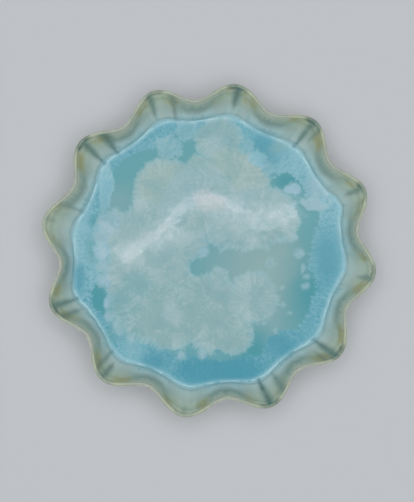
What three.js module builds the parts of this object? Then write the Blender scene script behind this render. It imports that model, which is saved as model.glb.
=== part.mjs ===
import * as THREE from "three";
import { LoftGeometry } from "three/addons/geometries/LoftGeometry.js";

// A low hand-built cake plate: a stoneware floor slab, a crimped wall luted onto its rim, a foot ring
// let in underneath, and the coats of glaze that were fired onto them.
// Millimetres, +Z up. The origin is on the table, under the middle of the plate.

// Plan of the plate
const plateDiameter = 262; // across two opposite crests of the lip
const lipLobeDepth = 14.3; // from a crest of the lip in to a valley
const crestFlare = 23.5; // at a crest the lip stands this far outside the floor line
const floorLobeDepth = 4.6; // from a crest of the floor line in to a valley
const lobeCount = 12;
const firstCrestBearing = 21; // degrees from +X, anticlockwise
const crestStray = [0, -0.5, -0.5, -1, -0.5, 0, -1, -0.5, 0, 0.5, 0.5, 1]; // degrees, lobe by lobe
const lipSharpness = 0.92; // 1 is an even wave, more makes a crest narrower than a valley
const floorSharpness = 1.3;
const creaseDepth = 0.9; // fold line that the modelling tool leaves down each crest
const creaseWidth = 4.5;

// Heights
const footHeight = 5; // table to the underside of the slab
const slabThickness = 7;
const valleyRise = 24.5; // top of the slab to the clay lip, in a valley
const crestRise = 20.5; // the same at a crest, where the wall leans out further

// Clay wall
const wallFootThickness = 5.5;
const lipThickness = 2.2;
const kneeRun = 0.55; // where the wall turns up, as a share of its run outwards
const kneeRise = 0.45; // and as a share of its rise

// Slab and foot ring
const seatDepth = 1.5; // scored rebate round the slab's rim, in which the wall stands
const slabEdgeRound = 1.5; // softened lower edge of the slab
const footInset = 34; // from the slab's rim, in a valley, in to the middle of the foot ring
const footRingWidth = 8;
const footRingBevel = 1.5; // ground edge beside the face that meets the table
const footTongue = 1; // depth by which the ring is let into the slab
const jointGap = 0.3; // slip line between two pieces

// Glaze
const poolDepth = 1.2; // crystalline glaze that ran down and pooled on the floor
const poolClimb = 2.1; // height above the slab at which the pool's meniscus meets the wall
const poolCove = 3.4; // width of the meniscus
const wallGlaze = 0.7;
const lipGlaze = 0.35; // the glaze runs thin over the lip
const baseGlaze = 0.5;
const footWipe = 4; // margin wiped clean of glaze beside the foot ring

// Facets
const stepsPerLobe = 10; // even, so that crests and valleys both get a section
const crestGather = 1.6; // above 1 the sections crowd towards the crests
const wallSteps = 3;
const coveSteps = 3;
const footRingSteps = 60;

// Levels and radii that follow from the sizes above
const slabTop = footHeight + slabThickness;
const seatTop = slabTop - seatDepth;
const poolTop = slabTop + jointGap + poolDepth;
const lipHalf = lipThickness / 2;
const lipCrestRadius = plateDiameter / 2;
const lipValleyRadius = lipCrestRadius - lipLobeDepth;
const floorCrestRadius = lipCrestRadius - crestFlare;
const floorValleyRadius = floorCrestRadius - floorLobeDepth;
const footRingRadius = floorValleyRadius + wallFootThickness - footInset;
const footRingInner = footRingRadius - footRingWidth / 2;
const footRingOuter = footRingRadius + footRingWidth / 2;
const lipCoat = jointGap + lipGlaze;
const lipSplit = jointGap / (lipThickness + 2 * lipCoat); // half angle left between the two coats on the lip

const { lerp, degToRad } = THREE.MathUtils;
const point = (radius, height) => new THREE.Vector2(radius, height);

// Bearing of a crest. Lobes past the last one carry on round the plate.
function crestBearing(lobe) {
  const turn = Math.floor(lobe / lobeCount);
  const stray = crestStray[(lobe - turn * lobeCount) % crestStray.length];
  return degToRad(firstCrestBearing + (lobe * 360) / lobeCount + stray);
}

// Share of the way from one crest to the next, with the sections crowded towards both ends.
function gather(share) {
  const half = Math.min(share, 1 - share);
  const drawn = 0.5 * (2 * half) ** crestGather;
  return share < 0.5 ? drawn : 1 - drawn;
}

// What the plate measures at each bearing where a section is taken.
function stationsRound() {
  const stations = [];
  for (let lobe = 0; lobe < lobeCount; lobe++) {
    const start = crestBearing(lobe);
    const pitch = crestBearing(lobe + 1) - start;
    for (let step = 0; step < stepsPerLobe; step++) {
      const along = gather(step / stepsPerLobe);
      const wave = (1 + Math.cos(2 * Math.PI * along)) / 2;
      const lipCrest = wave ** lipSharpness; // 1 on a crest, 0 in a valley
      const floorCrest = wave ** floorSharpness;
      const lip = lerp(lipValleyRadius, lipCrestRadius, lipCrest);
      const fromCrest = Math.min(along, 1 - along) * pitch * lip;
      const crease = creaseDepth * Math.max(0, 1 - (2 * fromCrest) / creaseWidth);
      const slope = 2 * Math.PI * lipSharpness * wave ** (lipSharpness - 0.5) * Math.sqrt(1 - wave);
      const flank = (lipLobeDepth * slope) / (lip * pitch); // tangent of the angle between lip and circle
      stations.push({
        bearing: start + along * pitch,
        lip,
        floor: lerp(floorValleyRadius, floorCrestRadius, floorCrest),
        rise: lerp(valleyRise, crestRise, lipCrest),
        crease,
        stretch: Math.hypot(1, flank), // a radial section cuts a slanting flank obliquely
      });
    }
  }
  return stations;
}
const stations = stationsRound();

// Skins a solid through its section at every station.
function loftRound(sectionAt, closed) {
  const sections = stations.map((station) => {
    const across = new THREE.Vector3(Math.cos(station.bearing), Math.sin(station.bearing), 0);
    return sectionAt(station).map((p) => across.clone().multiplyScalar(p.x).setZ(p.y));
  });
  sections.push(sections[0]);
  return new LoftGeometry(sections, { closed });
}

// A disc's section runs from the axis out along the top and back underneath to the axis.
const loftDisc = (sectionAt) => loftRound(sectionAt, false);

// A ring's section closes on itself: up its inner side, over the top and down its outer side.
const loftRing = (sectionAt) => loftRound(sectionAt, true);

// A coat is a ring whose quads are folded along their other diagonal, as those of the clay under it are.
function loftCoat(sectionAt) {
  const geometry = loftRing(sectionAt);
  const corners = geometry.getIndex().array;
  for (let i = 0; i < corners.length; i += 6) {
    const [a, b, d, , c] = corners.slice(i, i + 5);
    corners.set([a, b, c, a, c, d], i);
  }
  return geometry;
}

// The wall at one station: its inner and outer faces and the round of its lip.
function wallAt(station) {
  const lipReach = lipHalf * station.stretch;
  const foot = point(station.floor, slabTop);
  const crown = point(station.lip - lipCoat - lipReach, slabTop + station.rise - lipHalf);
  const knee = (from, to) => point(lerp(from.x, to.x, kneeRun), lerp(from.y, to.y, kneeRise));
  const up = crown.clone().sub(knee(foot, crown)).normalize();
  const onLip = (turn) => {
    const reach = Math.cos(turn) * lipReach;
    const height = Math.sin(turn) * lipHalf;
    return point(crown.x + up.y * reach + up.x * height, crown.y - up.x * reach + up.y * height);
  };
  const innerTop = onLip(Math.PI);
  const outerFoot = point(station.floor + wallFootThickness, seatTop + jointGap);
  const outerTop = onLip(0);
  const inner = new THREE.QuadraticBezierCurve(foot, knee(foot, innerTop), innerTop);
  const outer = new THREE.QuadraticBezierCurve(outerFoot, knee(outerFoot, outerTop), outerTop);
  return { inner, outer, onLip };
}

// Points up the wall's inner face from the edge of the pool to the lip. The crease presses them out,
// most of all half-way up.
function innerFace(station) {
  const { inner } = wallAt(station);
  const climb = poolClimb / (inner.v2.y - inner.v0.y);
  const start = climb / (kneeRise + Math.sqrt(kneeRise ** 2 + (1 - 2 * kneeRise) * climb));
  const points = [];
  for (let i = 0; i <= wallSteps; i++) {
    const along = lerp(start, 1, i / wallSteps);
    const p = inner.getPoint(along);
    points.push(point(p.x + station.crease * Math.sin(Math.PI * along), p.y));
  }
  return points;
}

// Rim of the slab, flush with the wall that stands on it.
const rimAt = (station) => station.floor + wallFootThickness;

// A coat of glaze on the left of a path, a joint's gap off it. The path gives the thickness at each point.
function coat(path) {
  const side = path.map(({ at }, i) => {
    const before = path[Math.max(i - 1, 0)].at;
    const after = path[Math.min(i + 1, path.length - 1)].at;
    const along = after.clone().sub(before).normalize();
    return { at, left: point(-along.y, along.x) };
  });
  const offset = (distanceAt) =>
    side.map(({ at, left }, i) => at.clone().addScaledVector(left, distanceAt(i)));
  const under = offset(() => jointGap);
  const over = offset((i) => jointGap + path[i].thickness);
  return [...over, ...under.reverse()];
}

function floorSlab() {
  const grooveTop = footHeight + footTongue + jointGap;
  return loftDisc((station) => {
    const rim = rimAt(station);
    const shoulder = station.floor - jointGap;
    return [
      point(0, slabTop),
      point(shoulder, slabTop),
      point(shoulder, seatTop),
      point(rim, seatTop),
      point(rim, footHeight + slabEdgeRound),
      point(rim - slabEdgeRound, footHeight),
      point(footRingOuter + jointGap, footHeight),
      point(footRingOuter + jointGap, grooveTop),
      point(footRingInner - jointGap, grooveTop),
      point(footRingInner - jointGap, footHeight),
      point(0, footHeight),
    ];
  });
}

function flutedWall() {
  return loftRing((station) => {
    const { outer, onLip } = wallAt(station);
    const lip = [0.75, 0.5, 0.25].map((share) => onLip(share * Math.PI));
    return [
      point(station.floor, seatTop + jointGap),
      point(station.floor, slabTop),
      ...innerFace(station),
      ...lip,
      ...outer.getPoints(wallSteps).reverse(),
    ];
  });
}

function footRing() {
  const profile = [
    point(footRingInner, footHeight + footTongue),
    point(footRingInner, footRingBevel),
    point(footRingInner + footRingBevel, 0),
    point(footRingOuter - footRingBevel, 0),
    point(footRingOuter, footRingBevel),
    point(footRingOuter, footHeight + footTongue),
    point(footRingInner, footHeight + footTongue),
  ];
  return new THREE.LatheGeometry(profile, footRingSteps).rotateX(Math.PI / 2);
}

function wellGlaze() {
  return loftDisc((station) => {
    const [edge, next] = innerFace(station);
    const slope = next.clone().sub(edge).normalize();
    const rim = point(edge.x - jointGap * slope.y, edge.y + jointGap * slope.x);
    const flat = point(station.floor - poolCove, poolTop);
    const cove = new THREE.QuadraticBezierCurve(flat, point(station.floor - jointGap, poolTop), rim);
    return [
      point(0, poolTop),
      ...cove.getPoints(coveSteps),
      point(station.floor - 2 * jointGap, slabTop + jointGap),
      point(0, slabTop + jointGap),
    ];
  });
}

function innerWallGlaze() {
  return loftCoat((station) => {
    const { onLip } = wallAt(station);
    const face = innerFace(station);
    face[0].lerp(face[1], jointGap / face[0].distanceTo(face[1]));
    const lip = [0.75 * Math.PI, Math.PI / 2 + lipSplit].map(onLip);
    const path = [
      ...face.map((at, i) => ({ at, thickness: lerp(wallGlaze, lipGlaze, i / wallSteps) })),
      ...lip.map((at) => ({ at, thickness: lipGlaze })),
    ];
    return coat(path);
  });
}

function outerWallGlaze() {
  return loftCoat((station) => {
    const { outer, onLip } = wallAt(station);
    const rim = rimAt(station);
    const lip = [Math.PI / 2 - lipSplit, 0.25 * Math.PI].map(onLip);
    const face = outer.getPoints(wallSteps).reverse();
    const path = [
      ...lip.map((at) => ({ at, thickness: lipGlaze })),
      ...face.map((at, i) => ({ at, thickness: lerp(lipGlaze, wallGlaze, i / wallSteps) })),
      { at: point(rim, footHeight + slabEdgeRound), thickness: wallGlaze },
      { at: point(rim - slabEdgeRound, footHeight), thickness: baseGlaze },
    ];
    return coat(path);
  });
}

function undersideGlaze() {
  return loftCoat((station) => {
    const rim = rimAt(station) - slabEdgeRound;
    const path = [rim - 2 * wallGlaze, footRingOuter + footWipe].map((radius) => ({
      at: point(radius, footHeight),
      thickness: baseGlaze,
    }));
    return coat(path);
  });
}

const stoneware = { color: 0xb9a78c, roughness: 0.85, metalness: 0 };
const crystallineGlaze = { color: 0x7fb2b8, roughness: 0.15, metalness: 0 };
const celadonGlaze = { color: 0x8aa69a, roughness: 0.2, metalness: 0 };

function piece(name, geometry, finish) {
  const mesh = new THREE.Mesh(geometry, new THREE.MeshStandardMaterial(finish));
  mesh.name = name;
  return mesh;
}

const cakePlate = new THREE.Group();
cakePlate.add(
  piece("floor_slab", floorSlab(), stoneware),
  piece("fluted_wall", flutedWall(), stoneware),
  piece("foot_ring", footRing(), stoneware),
  piece("well_glaze", wellGlaze(), crystallineGlaze),
  piece("inner_wall_glaze", innerWallGlaze(), celadonGlaze),
  piece("outer_wall_glaze", outerWallGlaze(), celadonGlaze),
  piece("base_glaze", undersideGlaze(), celadonGlaze),
);

export default cakePlate;
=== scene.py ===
import math

import bmesh
import bpy
from mathutils import Matrix, Vector, noise


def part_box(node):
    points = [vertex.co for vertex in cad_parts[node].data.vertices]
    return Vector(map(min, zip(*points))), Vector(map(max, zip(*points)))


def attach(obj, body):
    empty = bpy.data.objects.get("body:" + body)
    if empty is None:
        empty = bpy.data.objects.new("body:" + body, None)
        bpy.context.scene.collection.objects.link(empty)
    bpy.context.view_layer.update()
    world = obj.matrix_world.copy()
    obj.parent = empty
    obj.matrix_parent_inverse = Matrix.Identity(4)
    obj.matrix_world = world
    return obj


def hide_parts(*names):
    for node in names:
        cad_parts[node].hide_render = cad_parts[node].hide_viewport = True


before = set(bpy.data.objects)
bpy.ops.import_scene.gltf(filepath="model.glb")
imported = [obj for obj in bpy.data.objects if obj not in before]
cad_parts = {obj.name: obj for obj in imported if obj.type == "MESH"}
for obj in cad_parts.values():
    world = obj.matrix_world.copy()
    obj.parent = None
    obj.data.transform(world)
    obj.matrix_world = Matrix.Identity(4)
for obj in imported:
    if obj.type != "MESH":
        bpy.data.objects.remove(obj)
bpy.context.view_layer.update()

print("frame loaded:", ", ".join(sorted(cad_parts)))

# one plate, drawn again at a finer step than the frame's solids; metres
plate = {
    "crestRadius": 0.131,
    "lipLobeDepth": 0.0143,
    "floorCrest": 0.1075,
    "floorLobeDepth": 0.0046,
    "firstCrest": 21.0,  # degrees from +X
    "crestStray": [0, -0.5, -0.5, -1, -0.5, 0, -1, -0.5, 0, 0.5, 0.5, 1],
    "lipSharpness": 0.92,
    "floorSharpness": 1.3,
    # where the foot of the wall was pressed out or in by hand: bearing, millimetres
    "floorStray": [(0, 2.5), (6, 2.8), (12, 2.3), (18, 3.3), (22, 1.2), (27, -1.2), (33, -0.2),
                   (40, 0.6), (45, 0), (51, -1.4), (57, -0.8), (63, 0), (72, -0.3), (81, -0.9),
                   (90, -0.3), (126, -0.2), (135, -1.3), (144, -2.1), (156, -2.3), (164, -2.7),
                   (170, -2), (176, -0.4), (183, 1.5), (189, 3.1), (195, 2.7), (201, 0.8), (205, -1.3),
                   (209, -0.4), (216, 0.8), (225, 1.4), (231, 0.7), (240, -0.5), (256, -0.5), (264, 0),
                   (285, 0.7), (292, 0.1), (318, 0.2), (327, 1), (334, 0.7), (342, -0.2), (348, -0.6),
                   (354, 1)],
    "valleyRise": 0.0245,
    "crestRise": 0.0205,
    "wallFoot": 0.0055,
    "lipThickness": 0.0022,
    "kneeRun": 0.55,
    "kneeRise": 0.45,
    "seatDepth": 0.0015,
    "edgeRound": 0.0015,
    "gap": 0.0003,
    "stepsPerLobe": 40,
    "crestGather": 1.6,
    "wobble": 0.0008,  # hand-made dips along the lip
    "wobblePace": 5.0,
    "wobbleSlice": 0.3,
}
# glaze coats: how thick they are at the lip, on the wall and underneath, and the lip's room for its own
coat = {"lip": 0.00025, "wall": 0.0007, "base": 0.0005, "lipRoom": 0.00035}
lobeCount = len(plate["crestStray"])
slabLow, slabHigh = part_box("floor_slab")
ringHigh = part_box("foot_ring")[1]
slabTop = slabHigh.z
slabBase = slabLow.z
nearly = 1e-6
weldDistance = 1e-7

# crease lines down each lobe: shift in degrees, depth 0..1, and where up the wall they start
creases = {
    "main": [(1, 0.62, 0.25), (0.2, 0.75, 0), (-0.5, 0.85, 0.2), (1.5, 0.68, 0.1), (-0.5, 0.8, 0),
             (-1.5, 0.35, 0.6), (0.3, 0.8, 0), (-0.5, 0.75, 0.2), (0, 0.4, 0.6), (-0.2, 1, 0),
             (-1.5, 0.85, 0), (-2, 0.6, 0.5)],
    "side": [(-4, 0.2, 0.5), (-2.8, 0.6, 0.35), (5, 0.1, 0.5), (-6, 0.6, 0), (-7.5, 1, 0), (-8, 0.5, 0),
             (4.8, 0.8, 0.1), (-4, 0.7, 0), (5, 0.1, 0.5), (6, 0.8, 0.1), (-5, 0.6, 0.4),
             (5, 0.1, 0.5)],
    "shares": {"main": 1.0, "side": 0.6},  # how far each kind is pressed in
    "fade": (0.15, 0.25),  # below and above where it starts
    "depth": 0.0009,
    "width": 0.0016,
    "tip": [0.9, 1, 0.8, 0.7, 1, 0.25, 1, 0.5, 0.5, 1, 0.9, 0.7],  # how dark the tip is painted: glaze held there, with painted shade
}


def mix(a, b, share):
    return a + (b - a) * share


def smooth(low, high, value):
    share = min(max((value - low) / (high - low), 0.0), 1.0)
    return share * share * (3 - 2 * share)


# value at a bearing between listed ones, all the way round
def roundTable(table, bearing):
    degrees = math.degrees(bearing) % 360
    if degrees < table[0][0]:
        degrees += 360
    for (a, low), (b, high) in zip(table, table[1:] + [(table[0][0] + 360, table[0][1])]):
        if a <= degrees <= b:
            return mix(low, high, smooth(a, b, degrees))


def crestBearing(lobe):
    stray = plate["crestStray"][lobe % lobeCount]
    return math.radians(plate["firstCrest"] + lobe * 360 / lobeCount + stray)


def gather(share):
    drawn = 0.5 * (2 * min(share, 1 - share)) ** plate["crestGather"]
    return drawn if share < 0.5 else 1 - drawn


# what the plate measures at one of its sections
def stationAt(index):
    lobe, step = divmod(index, plate["stepsPerLobe"])
    along = gather(step / plate["stepsPerLobe"])
    start = crestBearing(lobe)
    pitch = crestBearing(lobe + 1) - start
    if lobe == lobeCount - 1:
        pitch = crestBearing(0) + 2 * math.pi - start
    bearing = start + along * pitch
    wave = (1 + math.cos(2 * math.pi * along)) / 2
    sharp = plate["lipSharpness"]
    crest = wave ** sharp
    lip = plate["crestRadius"] - plate["lipLobeDepth"] * (1 - crest)
    slope = 2 * math.pi * sharp * wave ** (sharp - 0.5) * math.sqrt(1 - wave)
    floor = plate["floorCrest"] - plate["floorLobeDepth"] * (1 - wave ** plate["floorSharpness"])
    floor += roundTable(plate["floorStray"], bearing) / 1000
    spot = Vector((math.cos(bearing), math.sin(bearing), plate["wobbleSlice"])) * plate["wobblePace"]
    dip = plate["wobble"] * (0.5 + 0.5 * noise.noise(spot))
    return {
        "bearing": bearing,
        "crest": crest,
        "lobe": lobe if along < 0.5 else (lobe + 1) % lobeCount,
        "aside": (along if along < 0.5 else along - 1) * pitch * lip,
        "lip": lip,
        "floor": floor,
        "rise": mix(plate["valleyRise"], plate["crestRise"], crest) - dip,
        "stretch": math.hypot(1, plate["lipLobeDepth"] * slope / (lip * pitch)),
    }


stations = [stationAt(i) for i in range(lobeCount * plate["stepsPerLobe"])]


# a crease from a station: how far aside it is, how deep, and where up the wall it starts
def creaseAt(station, kind):
    shift, depth, start = creases[kind][station["lobe"]]
    return station["aside"] - math.radians(shift) * station["lip"], depth, start


def fadeIn(start, climb):
    below, above = creases["fade"]
    return smooth(start - below, start + above, climb)


# how far the creases push the inner face out
def pressedIn(station, climb):
    total = 0.0
    for kind, share in creases["shares"].items():
        away, depth, start = creaseAt(station, kind)
        total += share * depth * math.exp(-((away / creases["width"]) ** 2)) * fadeIn(start, climb)
    return creases["depth"] * total * math.sin(math.pi * min(max(climb, 0.0), 1.0)) ** 0.5


def bezier(a, b, c, t):
    return a * (1 - t) ** 2 + b * (2 * t * (1 - t)) + c * t ** 2


def knee(a, b):
    return Vector((mix(a.x, b.x, plate["kneeRun"]), mix(a.y, b.y, plate["kneeRise"])))


# section of the clay wall: inner face, lip and outer face
def wallAt(station):
    half = plate["lipThickness"] / 2
    reach = half * station["stretch"]
    innerFoot = Vector((station["floor"], slabTop))
    lipCentre = station["lip"] - plate["gap"] - coat["lipRoom"] - reach
    crown = Vector((lipCentre, slabTop + station["rise"] - half))
    up = (crown - knee(innerFoot, crown)).normalized()

    def onLip(turn):
        out, high = math.cos(turn) * reach, math.sin(turn) * half
        return Vector((crown.x + up.y * out + up.x * high, crown.y - up.x * out + up.y * high))

    outerFoot = Vector((station["floor"] + plate["wallFoot"], slabTop - plate["seatDepth"] + plate["gap"]))
    innerTop, outerTop = onLip(math.pi), onLip(0)

    def inner(t):
        p = bezier(innerFoot, knee(innerFoot, innerTop), innerTop, t)
        return Vector((p.x + pressedIn(station, t), p.y))

    def outer(t):
        return bezier(outerFoot, knee(outerFoot, outerTop), outerTop, t)

    return inner, onLip, outer


# how far along the wall's curve the pooled glaze climbs
def poolEdge(station):
    share = well["climb"] / (station["rise"] - plate["lipThickness"] / 2)
    c = plate["kneeRise"]
    return share / (c + math.sqrt(c * c + (1 - 2 * c) * share))


# shifts a path to its left, by its own distance at each point
def offsetPath(path, distances):
    moved = []
    for i, p in enumerate(path):
        ahead = path[min(i + 1, len(path) - 1)] - path[max(i - 1, 0)]
        ahead.normalize()
        moved.append(p + Vector((-ahead.y, ahead.x)) * distances[i])
    return moved


# a coat on a path: along its face, then back along its underside
def coatOn(path, thick, gap):
    face = offsetPath(path, [plate["gap"] + t for t in thick])
    back = offsetPath(path, [gap] * len(path))
    return face + back[::-1]


def spinRound(bm, geom, steps):
    bmesh.ops.spin(bm, geom=geom, cent=(0, 0, 0), axis=(0, 0, 1), angle=2 * math.pi, steps=steps,
                   use_merge=True, use_duplicate=False)


def newPiece(name, bm):
    for face in bm.faces:
        face.smooth = True
    mesh = bpy.data.meshes.new(name)
    bm.to_mesh(mesh)
    bm.free()
    piece = bpy.data.objects.new(name, mesh)
    bpy.context.scene.collection.objects.link(piece)
    print("made", name, len(mesh.polygons), "faces")
    return piece


# spins a section round the plate's axis, then sets each copy to the section at its own bearing
def spinPiece(name, sections, closed, values=lambda k, i: {}):
    bm = bmesh.new()
    order = bm.verts.layers.int.new("order")
    layers = {key: bm.verts.layers.float.new(key) for key in values(0, 0)}
    ring = [bm.verts.new((max(p.x, nearly), 0, p.y)) for p in sections[0]]
    for i, v in enumerate(ring):
        v[order] = i
    links = [bm.edges.new(pair) for pair in zip(ring, ring[1:])]
    if closed:
        links.append(bm.edges.new((ring[-1], ring[0])))
    count = len(sections)
    spinRound(bm, ring + links, count)
    for v in bm.verts:
        k = round(math.atan2(v.co.y, v.co.x) / (2 * math.pi) * count) % count
        p = sections[k][v[order]]
        bearing = stations[k]["bearing"]
        v.co = (p.x * math.cos(bearing), p.x * math.sin(bearing), p.y)
        for key, value in values(k, v[order]).items():
            v[layers[key]] = value
    bmesh.ops.remove_doubles(bm, verts=bm.verts, dist=weldDistance)
    bmesh.ops.recalc_face_normals(bm, faces=bm.faces)
    piece = newPiece(name, bm)
    piece.data.attributes.remove(piece.data.attributes["order"])
    return piece


# well: the pooled glaze, with a slow warp that the kiln left in the floor
well = {
    "depth": 0.0012,
    "climb": 0.0021,
    "cove": 0.0034,
    "rings": 40,
    "coveSteps": 10,
    "ringGather": 0.8,
    "slopeStep": 0.1,
    "edgeHold": 0.01,
    "blotWidth": 0.0022,
    "warpDepth": 0.00032,
    "warpFade": (0.6, 0.98),  # shares of the radius
    "warpAcross": 0.154,
    "warpAlong": 0.141,
    "warpCentre": (-0.005, 0.0233),
    "warpSkew": (0.22, 0.3, -0.23),
    "warpRight": (0.04, 0.085, 0.9),  # lifts from, to, and by how much
    # radius the blue border grows in to, in millimetres, and how deep its blue is, by bearing
    "border": [(3, 82), (8, 85.5), (13, 89), (18, 93.5), (23, 92), (28, 89), (36, 91), (44, 88),
               (49, 78), (58, 77), (66, 82), (72, 91), (76, 97.5), (92, 96), (106, 96), (117, 91),
               (125, 95), (134, 97.5), (139, 98), (149, 88), (161, 90), (169, 84), (185, 80), (194, 86),
               (200, 97), (206, 100), (211, 97), (217, 93), (225, 93.5), (237, 86), (250, 85),
               (259, 84), (270, 85.5), (286, 88.5), (296, 91), (305, 83.5), (312, 85), (320, 94),
               (329, 92), (339, 89.5), (345, 87.5), (352, 80.5), (358, 80)],
    "deep": [(0, -0.1), (30, 0.2), (50, -0.05), (90, 0.55), (120, 0.4), (150, 0.6), (170, 0.0),
             (185, -0.1), (210, 0.62), (240, 0.42), (265, 0.9), (285, 1.0), (300, 0.65), (320, 0.55),
             (340, 0.45)],
    # how mottled the border is, and how plain the pale corner line shows (thin glaze with a painted
    # highlight)
    "mottle": [(0, 0.4), (30, 0.6), (60, 0.4), (90, 0.45), (140, 0.35), (205, 0.7), (228, 0.65),
               (250, 0.35), (300, 0.3), (340, 0.4)],
    "lineShow": [(0, 0.5), (8, 0.9), (17, 0.9), (22, 0.2), (28, 0.3), (36, 0.8), (60, 0.8), (95, 0.7),
                 (150, 0.9), (178, 0.8), (186, 0.15), (195, 0.15), (199, 0.9), (212, 1), (225, 0.4),
                 (232, 0.9), (300, 0.9), (340, 0.8), (356, 0.5)],
}
poolTop = slabTop + plate["gap"] + well["depth"]


def warp(x, y):
    cx, cy = well["warpCentre"]
    turn = 2 * math.pi * (x - cx) / well["warpAcross"]
    lean, pinch, twist = well["warpSkew"]
    across = math.cos(turn) + lean * math.sin(turn) + pinch * math.cos(2 * turn)
    across += twist * math.sin(2 * turn)
    start, end, lift = well["warpRight"]
    across += lift * smooth(start, end, x)
    return well["warpDepth"] * across * math.sin(2 * math.pi * (y - cy) / well["warpAlong"])


def makeWell():
    sections = []
    for s in stations:
        inner = wallAt(s)[0]
        start = poolEdge(s)
        edge, ahead = inner(start), inner(start + well["slopeStep"])
        slope = (ahead - edge).normalized()
        rim = Vector((edge.x - plate["gap"] * slope.y, edge.y + plate["gap"] * slope.x))
        flat = Vector((s["floor"] - well["cove"], poolTop))
        corner = Vector((s["floor"] - plate["gap"], poolTop))
        path = []
        for i in range(well["rings"]):
            r = flat.x * (i / well["rings"]) ** well["ringGather"]
            x, y = r * math.cos(s["bearing"]), r * math.sin(s["bearing"])
            share = 1 - smooth(*well["warpFade"], r / flat.x)
            path.append(Vector((r, poolTop + warp(x, y) * share)))
        shares = [i / well["coveSteps"] for i in range(well["coveSteps"])] + [1 - well["edgeHold"], 1]
        path += [bezier(flat, corner, rim, share) for share in shares]
        path.append(Vector((s["floor"] - 2 * plate["gap"], slabTop + plate["gap"])))
        path.append(Vector((0, slabTop + plate["gap"])))
        sections.append(path)

    def values(k, i):
        s = stations[k]
        inset = s["floor"] - sections[k][i].x
        blot = 0.0
        for kind in creases["shares"]:
            away, depth, start = creaseAt(s, kind)
            if start == 0:
                blot += depth * math.exp(-((away / well["blotWidth"]) ** 2))
        width = s["floor"] - roundTable(well["border"], s["bearing"]) / 1000
        found = {"inset": inset, "blot": blot, "shore": inset / width}
        for key in ("deep", "mottle", "lineShow"):
            found[key] = roundTable(well[key], s["bearing"])
        return found

    return spinPiece("well_glaze_pool", sections, False, values)


# wall: one coat over the inner face, the lip and the outer face
wall = {
    "innerSteps": 24,
    "lipSteps": 10,
    "outerSteps": 16,
    "overlap": 0.97,
    "feather": 0.06,  # how thin the coat starts
    "featherEnd": 0.45,
    "edgeHold": 0.003,
    "edgeCut": 0.3,
    "edgeClimbs": [3.1, 3.15, 3.2],  # after 0 to 1 inside, 1 to 2 over the lip and 2 to 3 outside
    "onLobe": (0.05, 0.3),
}
climbEnd = wall["edgeClimbs"][-1]


def makeWall():
    sections = []
    for s in stations:
        inner, onLip, outer = wallAt(s)
        start = poolEdge(s) * wall["overlap"]
        rim = s["floor"] + plate["wallFoot"]
        path, thick, climbs = [], [], []
        steps = [0, wall["edgeHold"]] + [i / wall["innerSteps"] for i in range(1, wall["innerSteps"] + 1)]
        for t in steps:
            path.append(inner(mix(start, 1, t)))
            feather = mix(wall["feather"], 1, smooth(0, wall["featherEnd"], t))
            thick.append(mix(coat["wall"], coat["lip"], t) * feather)
            climbs.append(t)
        for i in range(1, wall["lipSteps"]):
            t = i / wall["lipSteps"]
            path.append(onLip(math.pi * (1 - t)))
            thick.append(coat["lip"])
            climbs.append(1 + t)
        for i in range(wall["outerSteps"] + 1):
            t = i / wall["outerSteps"]
            path.append(outer(1 - t))
            thick.append(mix(coat["lip"], coat["wall"], t))
            climbs.append(2 + t)
        cut = wall["edgeCut"] * plate["edgeRound"]
        path.append(Vector((rim, slabBase + plate["edgeRound"])))
        path.append(Vector((rim - cut, slabBase + cut)))
        path.append(Vector((rim - plate["edgeRound"], slabBase)))
        thick += [coat["wall"], coat["wall"], coat["base"]]
        climbs += wall["edgeClimbs"]
        sections.append(coatOn(path, thick, plate["gap"]))
    climbs += climbs[::-1]

    def values(k, i):
        s = stations[k]
        onLobe = smooth(*wall["onLobe"], s["crest"])
        found = {"climb": climbs[i], "crest": s["crest"], "tip": creases["tip"][s["lobe"]]}
        for kind in creases["shares"]:
            away, depth, start = creaseAt(s, kind)
            found[kind + "Aside"] = away
            found[kind + "Depth"] = onLobe * depth * fadeIn(start, climbs[i])
        return found

    return spinPiece("wall_glaze", sections, True, values)


# clay of the wall, under its glaze
def makeWallClay():
    sections = []
    for s in stations:
        inner, onLip, outer = wallAt(s)
        path = [Vector((s["floor"], slabTop - plate["seatDepth"] + plate["gap"]))]
        path += [inner(i / wall["innerSteps"]) for i in range(wall["innerSteps"] + 1)]
        path += [onLip(math.pi * (1 - i / wall["lipSteps"])) for i in range(1, wall["lipSteps"])]
        path += [outer(1 - i / wall["outerSteps"]) for i in range(wall["outerSteps"] + 1)]
        sections.append(path)
    return spinPiece("fluted_wall_clay", sections, True)


# underside: bare slab with turning marks, a wiped margin and a thin glaze
under = {
    "footWipe": 0.004,
    "glazeSteps": 12,
    "glazeSeam": 0.00002,
    "glazeTaper": 8,
    "glazeThin": 0.02,
    "glazeSink": 0.5,
    "marks": 44,
    "markDepth": 0.00008,
    "markPitch": 0.0032,
}
foot = {"width": 0.008, "bevel": 0.0015, "bevelSteps": 5, "steps": 180}


def makeBaseGlaze():
    sections = []
    inside = ringHigh.x + under["footWipe"]
    for s in stations:
        outside = s["floor"] + plate["wallFoot"] - plate["edgeRound"] - under["glazeSeam"]
        path, thick = [], []
        for i in range(under["glazeSteps"] + 1):
            t = i / under["glazeSteps"]
            path.append(Vector((mix(outside, inside, t), slabBase)))
            thick.append(coat["base"] * math.sqrt(max(1 - t ** under["glazeTaper"], under["glazeThin"])))
        sections.append(coatOn(path, thick, plate["gap"] * under["glazeSink"]))

    def values(k, i):
        return {"crest": stations[k]["crest"], "climb": climbEnd}

    return spinPiece("base_glaze_coat", sections, True, values)


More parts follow.
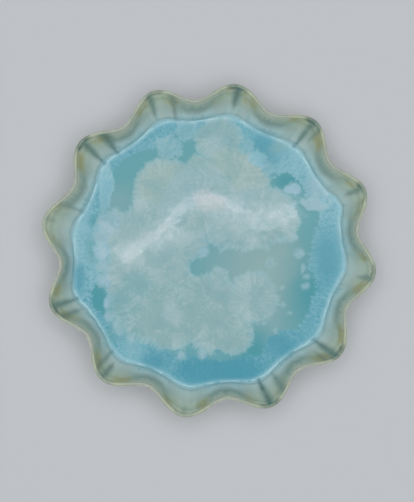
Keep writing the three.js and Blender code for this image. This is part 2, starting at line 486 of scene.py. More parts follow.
def makeSlab():
    inner, outer = ringHigh.x - foot["width"] - plate["gap"], ringHigh.x + plate["gap"]
    grooveTop = ringHigh.z + plate["gap"]
    seat = slabTop - plate["seatDepth"]
    sections = []
    for s in stations:
        rim = s["floor"] + plate["wallFoot"]
        shoulder = s["floor"] - plate["gap"]
        points = [(0, slabTop), (shoulder, slabTop), (shoulder, seat), (rim, seat),
                  (rim, slabBase + plate["edgeRound"]), (rim - plate["edgeRound"], slabBase),
                  (outer, slabBase), (outer, grooveTop), (inner, grooveTop)]
        for i in range(under["marks"] + 1):
            r = inner * (1 - i / under["marks"])
            cut = under["markDepth"] * (0.5 + 0.5 * math.cos(2 * math.pi * r / under["markPitch"]))
            points.append((r, slabBase + cut))
        sections.append([Vector(p) for p in points])
    return spinPiece("floor_slab_clay", sections, False)


def makeFootRing():
    outer = ringHigh.x
    inner = outer - foot["width"]
    bm = bmesh.new()
    corners = ((inner, ringHigh.z), (inner, 0), (outer, 0), (outer, ringHigh.z))
    ring = [bm.verts.new((r, 0, z)) for r, z in corners]
    links = [bm.edges.new(pair) for pair in zip(ring, ring[1:] + ring[:1])]
    spinRound(bm, ring + links, foot["steps"])
    bmesh.ops.remove_doubles(bm, verts=bm.verts, dist=weldDistance)
    bmesh.ops.recalc_face_normals(bm, faces=bm.faces)
    lower = []
    for edge in bm.edges:
        a, b = (v.co for v in edge.verts)
        if max(a.z, b.z) < nearly and abs(a.to_2d().length - b.to_2d().length) < nearly:
            lower.append(edge)
    bmesh.ops.bevel(bm, geom=lower, offset=foot["bevel"], affect="EDGES", segments=foot["bevelSteps"],
                    profile=0.5, material=-1)
    return newPiece("foot_ring_clay", bm)


wellPiece = makeWell()
wallPiece = makeWall()
wallClayPiece = makeWallClay()
basePiece = makeBaseGlaze()
slabPiece = makeSlab()
ringPiece = makeFootRing()


# node helpers
def addNode(tree, kind, inputs=None, **settings):
    node = tree.nodes.new(kind)
    for key, value in settings.items():
        setattr(node, key, value)
    for key, value in (inputs or {}).items():
        if isinstance(value, bpy.types.NodeSocket):
            tree.links.new(value, node.inputs[key])
        else:
            node.inputs[key].default_value = value
    return node


def maths(tree, operation, *values, clamp=False):
    node = addNode(tree, "ShaderNodeMath", dict(enumerate(values)), operation=operation, use_clamp=clamp)
    return node.outputs[0]


def vectors(tree, operation, *values):
    node = addNode(tree, "ShaderNodeVectorMath", dict(enumerate(values)), operation=operation)
    return node.outputs["Value" if operation in ("LENGTH", "DOT_PRODUCT") else "Vector"]


def ramp(tree, value, low, high, fromValue=0.0, toValue=1.0):
    node = addNode(tree, "ShaderNodeMapRange", {"Value": value, "From Min": low, "From Max": high,
                                                "To Min": fromValue, "To Max": toValue},
                   interpolation_type="SMOOTHSTEP")
    return node.outputs["Result"]


def blend(tree, share, a, b):
    return addNode(tree, "ShaderNodeMix", {0: share, 6: a, 7: b}, data_type="RGBA").outputs[2]


# a value above nought paints one tone over a colour, and below nought another
def twoWays(tree, value, share, colour, above, below):
    colour = blend(tree, maths(tree, "MULTIPLY", value, share, clamp=True), colour, above)
    return blend(tree, maths(tree, "MULTIPLY", value, -share, clamp=True), colour, below)


def product(tree, value, *others):
    for other in others:
        value = maths(tree, "MULTIPLY", value, other)
    return value


def times(tree, vector, factor):
    return vectors(tree, "MULTIPLY", vector, (factor, factor, factor))


def flattened(tree, vector):
    return vectors(tree, "MULTIPLY", vector, (1, 1, 0))


def joined(tree, x, y, z):
    return addNode(tree, "ShaderNodeCombineXYZ", {0: x, 1: y, 2: z}).outputs[0]


def speckle(tree, position, scale, detail=2.0, roughness=0.5, output="Fac"):
    node = addNode(tree, "ShaderNodeTexNoise", {"Vector": position, "Scale": scale, "Detail": detail,
                                                "Roughness": roughness}, noise_dimensions="3D")
    return node.outputs[output]


def cells(tree, position, scale):
    return addNode(tree, "ShaderNodeTexVoronoi", {"Vector": position, "Scale": scale}).outputs


# noise along spokes from a middle, set off by another vector
def spokes(tree, vector, count, offset, detail=3.0):
    drawn = times(tree, vectors(tree, "NORMALIZE", vector), count)
    return speckle(tree, vectors(tree, "ADD", drawn, offset), 1.0, detail, 0.6)


# adds a share of a noise, counted from its middle
def swing(tree, value, share, to):
    return maths(tree, "MULTIPLY_ADD", maths(tree, "SUBTRACT", value, 0.5), share, to)


# the same for a colour, as a push to the side
def sway(tree, colour, push):
    return vectors(tree, "MULTIPLY", vectors(tree, "SUBTRACT", colour, (0.5, 0.5, 0.5)), (push, push, 0))


# a point pushed about by noise
def pushed(tree, position, scale, push):
    colour = speckle(tree, position, scale, 3.0, 0.55, "Color")
    return vectors(tree, "ADD", position, sway(tree, colour, push))


def relief(tree, height, looks):
    return addNode(tree, "ShaderNodeBump", {"Height": height, "Strength": looks["reliefStrength"],
                                            "Distance": looks["reliefDepth"]}).outputs[0]


def colourStops(tree, value, stops):
    node = addNode(tree, "ShaderNodeValToRGB", {"Fac": value})
    elements = node.color_ramp.elements
    while len(elements) < len(stops):
        elements.new(0.5)
    for element, (at, tone) in zip(elements, stops):
        element.position = at
    for element, (at, tone) in zip(elements, stops):
        element.color = tone
    return node.outputs["Color"]


def attribute(tree, name):
    return addNode(tree, "ShaderNodeAttribute", attribute_name=name).outputs["Fac"]


def paint(red, green, blue):
    def linear(value):
        value /= 255
        return value / 12.92 if value <= 0.04045 else ((value + 0.055) / 1.055) ** 2.4
    return (linear(red), linear(green), linear(blue), 1.0)


def newMaterial(name, settings):
    material = bpy.data.materials.new(name)
    material.use_nodes = True
    tree = material.node_tree
    shader = tree.nodes["Principled BSDF"]
    for key, value in settings.items():
        shader.inputs[key].default_value = value
    place = addNode(tree, "ShaderNodeTexCoord").outputs["Object"]
    return material, tree, shader, place


def newGroup(name, inputs, outputs):
    group = bpy.data.node_groups.new(name, "ShaderNodeTree")
    kinds = {"f": "NodeSocketFloat", "v": "NodeSocketVector", "c": "NodeSocketColor"}
    for key, kind in inputs.items():
        group.interface.new_socket(name=key, in_out="INPUT", socket_type=kinds[kind])
    for key, kind in outputs.items():
        group.interface.new_socket(name=key, in_out="OUTPUT", socket_type=kinds[kind])
    given = group.nodes.new("NodeGroupInput").outputs
    made = group.nodes.new("NodeGroupOutput").inputs
    return group, given, made


# one crystal grown beside the others; the point's z tells how many millimetres inside the crystals it lies
def makeCrystalGroup():
    group, given, made = newGroup(
        "crystalFan",
        {"Position": "v", "Seed": "v", "Reach": "f", "Stretch": "f", "Turn": "f", "Soft": "f", "Grows": "f",
         "Tone": "c", "Under": "c", "Local": "v"},
        {"Position": "v", "Color": "c", "Local": "v"})
    was = addNode(group, "ShaderNodeSeparateXYZ", {0: given["Position"]}).outputs
    fromSeed = flattened(group, vectors(group, "SUBTRACT", given["Position"], given["Seed"]))
    turned = addNode(group, "ShaderNodeVectorRotate", {"Vector": fromSeed, "Angle": given["Turn"]},
                     rotation_type="Z_AXIS").outputs[0]
    drawn = joined(group, 1.0, given["Stretch"], 0.0)
    away = vectors(group, "LENGTH", vectors(group, "MULTIPLY", turned, drawn))
    inside = maths(group, "MULTIPLY", maths(group, "SUBTRACT", given["Reach"], away), 1000.0)
    mask = ramp(group, inside, maths(group, "MULTIPLY", given["Soft"], -1.0), given["Soft"])
    mask = maths(group, "MULTIPLY", mask, given["Grows"])
    group.links.new(blend(group, mask, given["Under"], given["Tone"]), made["Color"])
    # the crystal it lies deepest in gives the needles their middle and their length
    wins = maths(group, "MULTIPLY", maths(group, "GREATER_THAN", inside, was["Z"]), given["Grows"])
    reach = joined(group, 0.0, 0.0, maths(group, "MULTIPLY", given["Reach"], 1000.0))
    here = vectors(group, "ADD", fromSeed, reach)
    local = addNode(group, "ShaderNodeMix", {0: wins, 4: given["Local"], 5: here}, data_type="VECTOR")
    group.links.new(local.outputs[1], made["Local"])
    # a bare patch takes crystal away
    grown = maths(group, "MAXIMUM", was["Z"], inside)
    bared = maths(group, "MINIMUM", was["Z"], maths(group, "MULTIPLY", inside, -1.0))
    depth = addNode(group, "ShaderNodeMix", {0: given["Grows"], 2: bared, 3: grown}, data_type="FLOAT")
    group.links.new(joined(group, was["X"], was["Y"], depth.outputs[0]), made["Position"])
    return group


crystalFan = makeCrystalGroup()

# crystalline glaze
crystalGlaze = {
    "roughness": 0.07,
    "cornerRoughness": 0.42,
    "refraction": 1.5,
    # noise scales
    "grit": 420.0,
    "clumps": 90.0,
    "cloud": 45.0,
    "fray": 170.0,
    "fans": 85.0,
    "sheaves": 45.0,
    "flakes": 380.0,
    # noise that pushes outlines about: scale, and how far in metres
    "wave": (55.0, 0.010),
    "ripple": (260.0, 0.003),
    "fanBend": (150.0, 0.008),
    "sheafBend": (60.0, 0.02),
    "combSpokes": 40,
    "raySpokes": 7,
    "needleSpokes": 13,
    "petalSpokes": 4,
    "spokeStray": 90,
    "raySeed": 371,
    "petalSeed": 900,
    # how soft the pools are, as a share of their reach, and how much of them shows
    "groundPools": (0.9, 0.95),
    "borderPools": (0.7, 0.7),
    "crystalSoft": 0.25,
    "softLimits": (0.5, 4.0),  # millimetres
    "farOut": -50,
    "flakeTilt": 0.008,
    "crystalTilt": 0.016,
    "reliefStrength": 0.06,
    "reliefDepth": 0.0002,
}
glazeTones = {
    "ground": paint(95, 155, 164),
    "greyGround": paint(136, 167, 168),
    "deepGround": paint(66, 144, 155),
    "tealGrey": paint(114, 160, 166),
    "border": paint(123, 173, 185),
    "borderDeep": paint(65, 143, 163),
    "borderPale": paint(142, 186, 198),
    "fringe": paint(141, 184, 195),
    "pale": paint(142, 174, 178),
    "paleMid": paint(146, 177, 182),
    "paleWarm": paint(160, 179, 183),
    "paleGrey": paint(148, 175, 174),
    "paleLow": paint(134, 169, 172),
    "paleTeal": paint(124, 166, 171),
    "paleBlue": paint(138, 175, 187),
    "lightBlue": paint(127, 177, 191),
    "softBlue": paint(119, 168, 180),
    "lilac": paint(140, 177, 193),
    "frost": paint(176, 197, 200),
    "shade": paint(102, 156, 166),
    "foot": paint(124, 164, 172),
    "line": paint(190, 224, 228),
    "blot": paint(52, 110, 124),
}
# soft pools of colour in the ground and in the border, given in millimetres from the middle:
# at, reach, tone, and for some stretch and turn
pools = [
    ((50, -20), 40, "greyGround"),
    ((82, 18), 12, "ground", 0.6, 0),
    ((84, -37), 21, "deepGround", 0.7, 0),
    ((34, -78), 14, "deepGround"),
    ((-70, 38), 12, "tealGrey"),
    ((-87, -39), 9, "deepGround", 0.6, 0),
    ((63, 55), 10, "deepGround", 1.5, 0),
]
borderPools = [
    ((-92, 1), 5, "ground", 0.5, 0),
    ((-102, -22), 5, "borderDeep", 0.45, 0),
    ((-88, 24), 6, "deepGround", 1.4, 20),
    ((-44, -88), 11, "borderDeep", 1.3, 20),
    ((4, -97), 26, "borderDeep", 2.2, 0),
    ((24, -95), 14, "borderDeep", 1.6, -10),
    ((59, -75), 16, "borderDeep", 1.8, -35),
    ((94, -6), 13, "borderDeep", 0.6, 0),
    ((45, 82), 14, "borderDeep"),
    ((-75, -66), 6, "ground", 0.8, 0),
    ((58, 84), 9, "paleTeal", 1.8, 35),
    ((84, 50), 8, "paleBlue"),
    ((-60, -74), 10, "border"),
]
# crystals, and bare patches between them, in the same way
crystals = [
    ((-80, 49), 21, "lightBlue", 3.4, 84),
    ((-31, 82), 10, "softBlue"),
    ((-17, 95), 9, "softBlue"),
    ((8, 87), 19.6, "paleLow"),
    ((7, 80), 12, "paleMid"),
    ((-32, 46), 28, "paleGrey"),
    ((-8, 65), 11, "paleGrey"),
    ((21, 55), 28, "paleGrey"),
    ((-54, 12), 30, "pale"),
    ((-79, 21), 9.5, "paleBlue"),
    ((-54, -19), 29, "pale"),
    ((-84, 11), 6, "paleBlue"),
    ((-84, 0), 7, "lilac"),
    ((-82, -12), 6, "paleBlue"),
    ((-81, -23), 5, "lilac"),
    ((-78, -40), 7, "lilac", 1.7, 80),
    ((-76, -51), 6, "paleBlue"),
    ((-70, -60), 6, "paleBlue"),
    ((-61, -67), 5, "paleBlue"),
    ((-46, -43), 30, "paleTeal"),
    ((-29, -53), 26, "paleLow"),
    ((-28, -48), 9, "paleMid"),
    ((5, -56), 25, "paleLow"),
    ((-26, -3), 27, "pale"),
    ((-7, 36), 31, "paleMid"),
    ((25, 20), 27, "paleMid"),
    ((42, 22), 30.5, "pale"),
    ((1, 40), 13, "paleWarm", 1.5, 0),
    ((49, 14), 12, "paleLow", 1.5, 8),
    ((-12, 23), 11, "paleLow", 1.3, 20),
    ((-3, -35), 24, "paleLow"),
    ((15, -40), 13, "paleLow"),
    ((-68, 38), 7, "bare"),
    ((42, -18), 19, "bare"),
    ((60, -9), 17, "bare"),
    ((19, -10), 11, "bare"),
    ((3, -9), 8.6, "bare"),
    ((-8, -12), 6.3, "bare"),
    ((35, -37), 21, "pale"),
    ((20, -66), 16.5, "paleLow"),
    ((-15, -78), 4.5, "bare", 1.6, 20),
    ((8, -80), 4, "bare", 1.5, -10),
    ((7.5, -22), 9, "pale"),
    ((-3.5, -1), 4.6, "lilac"),
    ((-22, -82), 3.6, "paleBlue"),
    ((-5, -81), 4, "paleBlue"),
    ((31, 83), 6, "softBlue"),
    ((39, 74), 6.5, "lightBlue"),
    ((46, 66), 6, "softBlue"),
    ((84, 38), 13, "paleBlue", 2.6, -12),
    ((66.6, 49), 7, "lilac", 1.3, 30),
    ((80, 60), 3, "lightBlue"),
    ((85, 55), 3.4, "paleBlue"),
    ((89, 50), 3, "lilac"),
    ((93, 45), 3.4, "paleBlue"),
    ((97, 40.5), 2.6, "paleBlue"),
    ((86, 47), 3.2, "paleBlue"),
    ((91, 41), 2.4, "lightBlue"),
    ((9.5, 48), 9, "paleLow", 2.2, -4),
    ((49.3, -9.7), 5.1, "pale"),
    ((72, -2.7), 3.9, "paleBlue"),
    ((75, -14), 3.2, "paleBlue", 1.5, 60),
    ((77.5, -20), 2.6, "paleBlue"),
    ((76.8, -28), 3, "lilac"),
    ((58, -27), 1.6, "pale"),
    ((58.7, -41), 2, "paleBlue"),
    ((64, -47.5), 1.3, "paleBlue"),
    ((43, -57), 2.4, "paleBlue"),
    ((52.4, -63), 1.7, "paleBlue"),
    ((34, -65.6), 1.7, "paleBlue"),
]


def addCrystal(tree, colour, position, local, crystal, soft, grows):
    (x, y), reach, tone, *shape = crystal
    stretch, turn = shape or (1, 0)
    fan = addNode(tree, "ShaderNodeGroup", {
        "Position": position, "Seed": (x / 1000, y / 1000, 0), "Reach": reach / 1000, "Stretch": stretch,
        "Turn": math.radians(-turn), "Soft": soft, "Grows": grows,
        "Tone": glazeTones["ground" if tone == "bare" else tone], "Under": colour, "Local": local,
    }, node_tree=crystalFan).outputs
    return fan["Color"], fan["Position"], fan["Local"]


def addPools(tree, colour, position, rows, soft, show):
    for row in rows:
        colour = addCrystal(tree, colour, position, position, row, soft * row[1], show)[0]
    return colour


def makeCrystallineGlaze():
    looks = crystalGlaze
    material, tree, shader, place = newMaterial(
        "crystalline_glaze", {"Roughness": looks["roughness"], "IOR": looks["refraction"]})
    position = flattened(tree, place)
    names = ("inset", "shore", "deep", "mottle", "lineShow")
    inset, shore, deep, mottle, lineShow = (attribute(tree, key) for key in names)
    grit = speckle(tree, position, looks["grit"], 2.0, 0.6)
    clumps = speckle(tree, position, looks["clumps"], 3.0, 0.6)
    wavy = pushed(tree, pushed(tree, position, *looks["wave"]), *looks["ripple"])
    # ground, with soft pools in it
    ground = addPools(tree, glazeTones["ground"], wavy, pools, *looks["groundPools"])
    # blue border, combed inwards from the wall
    comb = spokes(tree, position, looks["combSpokes"], times(tree, position, looks["spokeStray"]))
    drawn = swing(tree, comb, 0.5, swing(tree, clumps, 0.5, swing(tree, grit, 0.4, shore)))
    borderMask = ramp(tree, drawn, 1.06, 0.94)
    blotch = maths(tree, "MULTIPLY", mottle, swing(tree, clumps, 1.8, swing(tree, grit, 3.4, 0.0)))
    depth = maths(tree, "ADD", swing(tree, comb, 1.0, deep), blotch)
    depth = maths(tree, "MULTIPLY", depth, ramp(tree, shore, 0.0, 0.3, 0.5, 1.0))
    border = twoWays(tree, depth, 1.0, glazeTones["border"], glazeTones["borderDeep"],
                     glazeTones["borderPale"])
    border = addPools(tree, border, wavy, borderPools, *looks["borderPools"])
    ground = blend(tree, borderMask, ground, border)
    # crystals, each passing the point on to the next
    stacked = vectors(tree, "ADD", wavy, (0, 0, looks["farOut"]))
    local = wavy
    colour = glazeTones["pale"]
    softLow, softHigh = looks["softLimits"]
    for crystal in crystals:
        soft = min(max(looks["crystalSoft"] * crystal[1], softLow), softHigh)
        grows = 0.0 if crystal[2] == "bare" else 1.0
        colour, stacked, local = addCrystal(tree, colour, stacked, local, crystal, soft, grows)
    inside = addNode(tree, "ShaderNodeSeparateXYZ", {0: stacked}).outputs["Z"]
    reach = addNode(tree, "ShaderNodeSeparateXYZ", {0: local}).outputs["Z"]
    # needles from the middle of each crystal, and in the small fans it broke into
    flat = flattened(tree, local)
    seed = times(tree, vectors(tree, "SUBTRACT", wavy, flat), looks["raySeed"])
    rays = spokes(tree, flat, looks["raySpokes"], seed)
    needles = spokes(tree, flat, looks["needleSpokes"], times(tree, wavy, looks["spokeStray"]), 2.0)
    bent = pushed(tree, position, *looks["fanBend"])
    fans = cells(tree, bent, looks["fans"])
    fanTone = addNode(tree, "ShaderNodeSeparateColor", {0: fans["Color"]}).outputs[0]
    fromFan = vectors(tree, "SUBTRACT", bent, fans["Position"])
    petals = spokes(tree, fromFan, looks["petalSpokes"], times(tree, fans["Position"], looks["petalSeed"]))
    # frayed edge, finer on a small crystal
    fray = speckle(tree, position, looks["fray"], 3.0, 0.6)
    fray = swing(tree, fray, 6.0, swing(tree, needles, 4.0, swing(tree, rays, 4.0, 0.0)))
    edge = maths(tree, "MULTIPLY_ADD", fray, ramp(tree, reach, 0.0, 9.0, 0.2, 1.0), inside)
    onCrystal = maths(tree, "MULTIPLY", ramp(tree, edge, -1.6, 2.2), ramp(tree, edge, 0.0, 7.0, 0.8, 1.0))
    # frost and shade inside the crystals
    cloud = speckle(tree, position, looks["cloud"], 3.0, 0.5)
    sheaves = cells(tree, pushed(tree, position, *looks["sheafBend"]), looks["sheaves"])
    sheafTone = addNode(tree, "ShaderNodeSeparateColor", {0: sheaves["Color"]}).outputs[1]
    frost = swing(tree, rays, ramp(tree, inside, 15.0, 3.0, 0.7, 1.3), 0.0)
    frost = swing(tree, petals, 0.8, swing(tree, cloud, 1.4, frost))
    frost = swing(tree, fanTone, 0.2, swing(tree, sheafTone, 0.3, swing(tree, grit, 0.5, frost)))
    colour = twoWays(tree, frost, 1.0, colour, glazeTones["frost"], glazeTones["shade"])
    # pale, grainy fringe along the outer edge
    grain = ramp(tree, swing(tree, grit, 1.0, clumps), 0.35, 0.65, 0.2, 1.0)
    fringe = product(tree, ramp(tree, edge, 6.0, 0.5), grain, ramp(tree, reach, 1.0, 10.0, 0.25, 0.65))
    colour = blend(tree, fringe, colour, glazeTones["fringe"])
    colour = blend(tree, onCrystal, ground, colour)
    # pale line in the corner: glaze drawn thin there, with a painted highlight of the cove
    corner = swing(tree, clumps, 0.0022, inset)
    line = product(tree, ramp(tree, corner, 0.0013, 0.0004), ramp(tree, corner, -0.0008, 0.0), lineShow,
                   ramp(tree, clumps, 0.38, 0.58, 0.15, 1.0), 0.5)
    colour = blend(tree, ramp(tree, inset, -0.0002, -0.0012), colour, glazeTones["foot"])
    colour = blend(tree, line, colour, glazeTones["line"])
    # dark blots where creases run out into the pool
    blot = product(tree, attribute(tree, "blot"), ramp(tree, inset, 0.0009, -0.0003), 0.8)
    colour = blend(tree, blot, colour, glazeTones["blot"])
    tree.links.new(colour, shader.inputs["Base Color"])
    rough = ramp(tree, inset, 0.004, 0.0008, looks["roughness"], looks["cornerRoughness"])
    tree.links.new(rough, shader.inputs["Roughness"])
    # faint relief, and flakes that lie at slightly different tilts
    height = swing(tree, rays, 0.6, swing(tree, needles, 0.5, maths(tree, "ADD", petals, cloud)))
    height = maths(tree, "MULTIPLY", onCrystal, height)
    flakes = sway(tree, cells(tree, bent, looks["flakes"])["Color"], looks["flakeTilt"])
    lean = sway(tree, speckle(tree, seed, 1.0, 0.0, 0.5, "Color"), looks["crystalTilt"])
    normal = vectors(tree, "ADD", relief(tree, height, looks), vectors(tree, "ADD", flakes, lean))
    tree.links.new(vectors(tree, "NORMALIZE", normal), shader.inputs["Normal"])
    return material


# celadon: thin over the lip, thick where it ran down, with painted light in its colour bands
celadonGlaze = {
    "roughness": 0.16,
    "lipRoughness": 0.4,
    "refraction": 1.5,
    "cloud": 55.0,
    "patches": 120.0,
    "runSpokes": 34,
    "runShift": 25,
    "reliefStrength": 0.08,
    "reliefDepth": 0.0005,
}
celadonTones = {
    "ochre": paint(164, 166, 124),
    "thin": paint(184, 192, 182),
    "pooled": paint(112, 148, 138),
    "crease": paint(80, 116, 112),
    "tip": paint(84, 108, 94),
    "foot": paint(96, 146, 154),
    "blot": paint(46, 104, 118),
}
# colours up the inside, over the lip and down the outside: in a valley, then on a crest. The pale band near
# 0.25 is a painted highlight at the foot, and the lighter stops just under the lip and on its outer half
# near 1.9 are painted light against the shade there
celadonBands = {
    "valley": [(0.0, (153, 203, 210)), (0.12, (167, 206, 212)), (0.25, (190, 220, 222)),
               (0.42, (171, 198, 196)), (0.52, (156, 180, 174)), (0.6, (147, 170, 162)),
               (0.68, (150, 176, 168)), (0.77, (169, 189, 175)), (0.87, (179, 195, 180)),
               (0.94, (190, 202, 186)), (1.03, (177, 189, 174)), (1.2, (148, 158, 146)),
               (1.5, (158, 167, 155)), (1.9, (212, 219, 205)), (2.2, (178, 197, 187)),
               (2.9, (166, 188, 178)), (3.2, (128, 160, 153))],
    "crest": [(0.0, (158, 188, 190)), (0.12, (166, 195, 195)), (0.25, (169, 194, 192)),
              (0.45, (162, 184, 177)), (0.58, (167, 190, 179)), (0.68, (168, 190, 176)),
              (0.8, (156, 177, 162)), (0.89, (178, 195, 176)), (0.96, (175, 188, 168)),
              (1.1, (166, 178, 161)), (1.4, (164, 176, 156)), (1.9, (206, 214, 193)),
              (2.2, (172, 190, 176)), (2.9, (166, 188, 178)), (3.2, (128, 160, 153))],
}


def bandColour(tree, height, bands):
    stops = [(at / climbEnd, paint(*tone)) for at, tone in bands]
    return colourStops(tree, maths(tree, "DIVIDE", height, climbEnd), stops)


def makeCeladon():
    looks = celadonGlaze
    material, tree, shader, place = newMaterial(
        "celadon_glaze", {"Roughness": looks["roughness"], "IOR": looks["refraction"]})
    climb, crest = attribute(tree, "climb"), attribute(tree, "crest")
    cloud = speckle(tree, place, looks["cloud"], 4.0, 0.6)
    patchy = speckle(tree, place, looks["patches"], 3.0, 0.55)
    # glaze that ran, in streaks down the wall
    shifted = vectors(tree, "MULTIPLY", place, (0, 0, looks["runShift"]))
    runs = spokes(tree, flattened(tree, place), looks["runSpokes"], shifted)
    drift = swing(tree, runs, 0.3, swing(tree, cloud, 0.25, swing(tree, patchy, 0.12, climb)))
    colour = blend(tree, ramp(tree, crest, 0.2, 0.8), bandColour(tree, drift, celadonBands["valley"]),
                   bandColour(tree, drift, celadonBands["crest"]))
    # ochre where the glaze breaks on both shoulders of a lobe
    shoulder = maths(tree, "MULTIPLY", ramp(tree, crest, 0.25, 0.6), ramp(tree, crest, 1.0, 0.85))
    high = maths(tree, "MULTIPLY", ramp(tree, drift, 0.45, 0.8), ramp(tree, climb, 1.1, 0.9, 0.3, 1.0))
    patch = product(tree, shoulder, high, ramp(tree, cloud, 0.38, 0.58), 0.9)
    colour = blend(tree, patch, colour, celadonTones["ochre"])
    # dark run of glaze held on the tip of a lobe, with painted shade inside the lip there
    tipGlazeAndShade = maths(tree, "MAXIMUM", ramp(tree, patchy, 0.36, 0.54), ramp(tree, climb, 0.94, 1.05, 0.0, 0.7))
    tip = product(tree, ramp(tree, crest, 0.8, 0.97), ramp(tree, drift, 0.88, 1.04),
                  ramp(tree, climb, 1.8, 1.2, 0.25, 1.0), tipGlazeAndShade, attribute(tree, "tip"))
    colour = blend(tree, tip, colour, celadonTones["tip"])
    # glaze gathers in a soft dark line along the foot
    footLine = product(tree, ramp(tree, climb, 0.0, 0.015, 0.6, 1.0), ramp(tree, climb, 0.09, 0.02),
                       ramp(tree, cloud, 0.35, 0.6, 0.15, 0.5))
    colour = blend(tree, footLine, colour, celadonTones["foot"])
    # thin and thick streaks
    streak = swing(tree, runs, 1.6, swing(tree, patchy, 0.9, 0.0))
    colour = twoWays(tree, streak, 0.5, colour, celadonTones["thin"], celadonTones["pooled"])
    # creases, darker with glaze pooled in them and with painted shade of the groove, and a blot where one
    # starts at the foot
    for kind, gain in (("main", 0.95), ("side", 0.75)):
        depth = attribute(tree, kind + "Depth")
        width = maths(tree, "MULTIPLY", ramp(tree, climb, 0.1, 0.9, 0.0017, 0.0028),
                      ramp(tree, depth, 0.4, 1.0, 0.9, 1.5))
        away = swing(tree, cloud, 0.0024, attribute(tree, kind + "Aside"))
        away = maths(tree, "DIVIDE", away, width)
        pit = maths(tree, "EXPONENT", product(tree, away, away, -1.0))
        pit = maths(tree, "MULTIPLY", pit, depth)
        dark = product(tree, pit, ramp(tree, climb, 1.4, 1.0), ramp(tree, cloud, 0.2, 0.5, 0.5, 1.0), gain)
        colour = blend(tree, dark, colour, celadonTones["crease"])
        blot = product(tree, pit, ramp(tree, climb, 0.16, 0.05), ramp(tree, patchy, 0.35, 0.6, 0.4, 1.0))
        colour = blend(tree, blot, colour, celadonTones["blot"])
    tree.links.new(colour, shader.inputs["Base Color"])
    # matter over the lip, glossy again outside
    glossy, matt = looks["roughness"], looks["lipRoughness"]
    rough = maths(tree, "MINIMUM", ramp(tree, climb, 0.75, 1.0, glossy, matt),
                  ramp(tree, climb, 2.0, 2.3, matt, glossy))
    tree.links.new(rough, shader.inputs["Roughness"])
    tree.links.new(relief(tree, cloud, looks), shader.inputs["Normal"])
    return material


# bare stoneware under the plate
stoneware = {
    "roughness": 0.82,
    "cloud": 24.0,
    "specks": 900.0,
    "speckShow": 0.7,
    "grain": 2200.0,
    "reliefStrength": 0.3,
    "reliefDepth": 0.0002,
}
clayTones = {"body": paint(196, 180, 156), "toasted": paint(170, 142, 112), "speck": paint(96, 78, 62)}


def makeClay():
    looks = stoneware
    material, tree, shader, place = newMaterial("bare_stoneware", {"Roughness": looks["roughness"]})
    cloud = speckle(tree, place, looks["cloud"], 4.0, 0.6)
    colour = blend(tree, ramp(tree, cloud, 0.4, 0.75), clayTones["body"], clayTones["toasted"])
    specks = ramp(tree, speckle(tree, place, looks["specks"], 2.0), 0.68, 0.74)
    colour = blend(tree, maths(tree, "MULTIPLY", specks, looks["speckShow"]), colour, clayTones["speck"])
    tree.links.new(colour, shader.inputs["Base Color"])
    grain = speckle(tree, place, looks["grain"], 3.0, 0.7)
    tree.links.new(relief(tree, grain, looks), shader.inputs["Normal"])
    return material


crystalline, celadon, clay = makeCrystallineGlaze(), makeCeladon(), makeClay()
print("materials made")

dressed = [
    (wellPiece, crystalline, "crystalline_glaze", ("well_glaze",)),
    (wallPiece, celadon, "celadon_glaze", ("inner_wall_glaze", "outer_wall_glaze")),
    (basePiece, celadon, "celadon_glaze", ("base_glaze",)),
    (wallClayPiece, clay, "stoneware", ("fluted_wall",)),
    (slabPiece, clay, "stoneware", ("floor_slab",)),
    (ringPiece, clay, "stoneware", ("foot_ring",)),
]
for piece, material, slot, nodes in dressed:
    piece.data.materials.append(material)
    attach(piece, "root")
    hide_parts(*nodes)

# stage
stage = {
    "floorTone": paint(188, 191, 195),
    "floorRoughness": 0.9,
    "floorShine": 0.1,
    "floorSize": 6.0,
    "floorDrop": 0.0002,
    "backdrop": paint(191, 194, 198),
    "shadowLift": 0.22,  # share of the plain backdrop that the camera sees in the floor
}


def makeFloor():
    bm = bmesh.new()
    bmesh.ops.create_grid(bm, x_segments=2, y_segments=2, size=stage["floorSize"] / 2)
    bmesh.ops.translate(bm, verts=bm.verts, vec=(0, 0, -stage["floorDrop"]))
    floor = newPiece("floor", bm)
    material, tree, shader, place = newMaterial("floor_paper", {
        "Base Color": stage["floorTone"], "Roughness": stage["floorRoughness"],
        "Specular IOR Level": stage["floorShine"]})
    seen = addNode(tree, "ShaderNodeLightPath").outputs["Is Camera Ray"]
    share = maths(tree, "MULTIPLY", seen, stage["shadowLift"])
    plain = addNode(tree, "ShaderNodeEmission", {"Color": stage["backdrop"]})
    lifted = addNode(tree, "ShaderNodeMixShader", {0: share, 1: shader.outputs[0], 2: plain.outputs[0]})
    tree.links.new(lifted.outputs[0], tree.nodes["Material Output"].inputs["Surface"])
    floor.data.materials.append(material)


makeFloor()

# light: a soft dome, brightest in a ring high up, and one strip overhead
light = {
    # how high, 0 at the horizon and 1 overhead, and how bright
    "dome": [(0.0, 0.13), (0.6, 0.17), (0.8, 0.65), (0.89, 3.0), (0.955, 3.9), (0.98, 0.8), (1.0, 0.7)],
    "domePeak": 3.9,
    "domeLean": (-0.22, -0.1, 0),  # a little brighter towards the left
    "stripSize": (0.326, 0.0135),
    "stripAt": (0.0607, 0.108, 1.25),
    "stripTurn": 13.2,
    "stripPower": 0.175,
    "stripTone": (1.0, 0.84, 0.88),
}


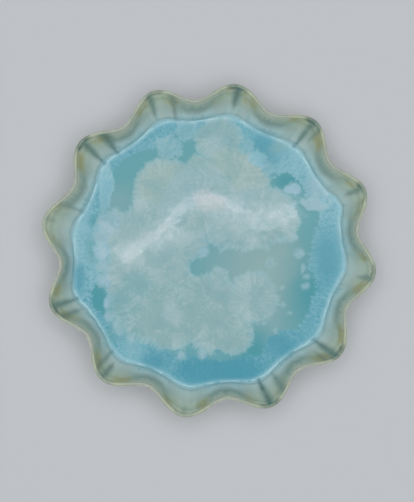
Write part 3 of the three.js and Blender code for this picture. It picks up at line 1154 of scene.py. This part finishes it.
def makeLight():
    world = bpy.data.worlds.new("studio")
    bpy.context.scene.world = world
    world.use_nodes = True
    tree = world.node_tree
    sky = addNode(tree, "ShaderNodeTexCoord").outputs["Generated"]
    up = addNode(tree, "ShaderNodeSeparateXYZ", {0: sky}).outputs["Z"]
    peak = light["domePeak"]
    stops = [(at, (level / peak, level / peak, level / peak, 1)) for at, level in light["dome"]]
    back = tree.nodes["Background"]
    tree.links.new(colourStops(tree, up, stops), back.inputs["Color"])
    lean = vectors(tree, "DOT_PRODUCT", sky, light["domeLean"])
    tree.links.new(maths(tree, "MULTIPLY_ADD", lean, peak, peak), back.inputs["Strength"])
    # the camera sees a pale backdrop behind the floor
    backdrop = addNode(tree, "ShaderNodeBackground", {"Color": stage["backdrop"]})
    seen = addNode(tree, "ShaderNodeLightPath").outputs["Is Camera Ray"]
    mixed = addNode(tree, "ShaderNodeMixShader", {0: seen, 1: back.outputs[0], 2: backdrop.outputs[0]})
    tree.links.new(mixed.outputs[0], tree.nodes["World Output"].inputs["Surface"])
    strip = bpy.data.lights.new("strip", "AREA")
    strip.shape = "RECTANGLE"
    strip.size, strip.size_y = light["stripSize"]
    strip.energy = light["stripPower"]
    strip.color = light["stripTone"]
    lamp = bpy.data.objects.new("strip", strip)
    lamp.location = light["stripAt"]
    lamp.rotation_euler = (0, 0, math.radians(light["stripTurn"]))
    lamp.visible_camera = False
    bpy.context.scene.collection.objects.link(lamp)


makeLight()

# camera: almost overhead, leaning a little from the lower left; the picture's up is +Y
camera = {
    "at": (-0.0703, -0.0662, 1.1962),
    "aim": (-0.00105, -0.0003, 0.0135),
    "lens": 108.24,
    "sensor": 36.0,
}


def makeCamera():
    data = bpy.data.cameras.new("overhead")
    data.lens = camera["lens"]
    data.sensor_width = camera["sensor"]
    eye = bpy.data.objects.new("overhead", data)
    eye.location = camera["at"]
    ahead = (Vector(camera["aim"]) - eye.location).normalized()
    right = ahead.cross(Vector((0, 1, 0))).normalized()
    eye.rotation_euler = Matrix((right, right.cross(ahead), -ahead)).transposed().to_euler()
    bpy.context.scene.collection.objects.link(eye)
    bpy.context.scene.camera = eye


makeCamera()
bpy.context.scene.view_settings.view_transform = "Standard"
print("stage, light and camera set")
